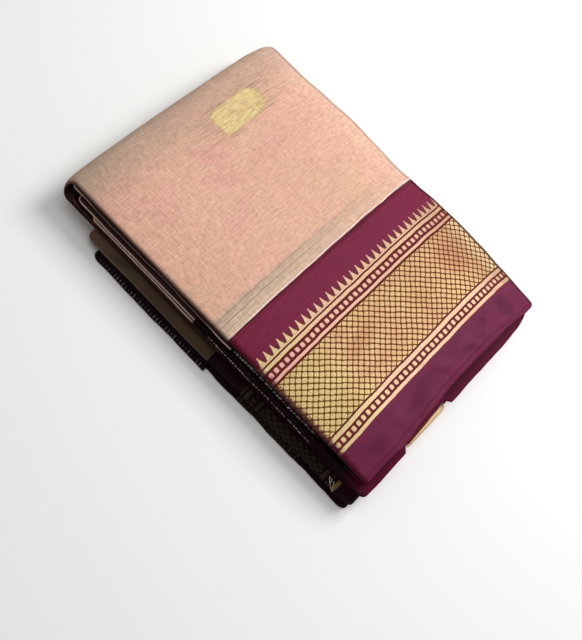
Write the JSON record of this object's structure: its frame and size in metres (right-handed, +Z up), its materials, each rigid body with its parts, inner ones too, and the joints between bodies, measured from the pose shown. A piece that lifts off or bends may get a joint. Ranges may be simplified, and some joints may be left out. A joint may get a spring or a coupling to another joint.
{
  "type": "folded saree",
  "caption": "Saree folded into a flat packet, with a plain body, a wide woven border and layered edges, lying on a surface.",
  "frame": {"origin": "on the ground, under the middle of the bounding box", "axes": "+Y along the packet's length, from the selvedge end to the rounded far fold; +X across the packet, away from the splayed layers; +Z up"},
  "size_m": [0.2936, 0.3832, 0.045],
  "materials": {
    "body_cloth": "fine plain weave with a soft sheen",
    "body_cloth_shaded": "fine plain weave, packed layers",
    "border_cloth": "fine weave with gold-thread pattern",
    "dark_border_cloth": "fine weave with gold-thread bars"
  },
  "bodies": {
    "root": {"top_panel_body": "body_cloth", "top_panel_border": "border_cloth", "second_panel_body": "body_cloth", "second_panel_border": "border_cloth", "inner_panel_one_body": "body_cloth", "inner_panel_two_body": "body_cloth", "inner_fold_border": "border_cloth", "upper_layers": "body_cloth_shaded", "middle_layers": "body_cloth_shaded", "turned_under_layers": "body_cloth_shaded", "striped_selvedge": "border_cloth", "draped_bundle_body": "body_cloth_shaded", "draped_bundle_border": "border_cloth", "lower_band_far": "dark_border_cloth", "lower_band_near": "border_cloth"}
  },
  "joints": []
}
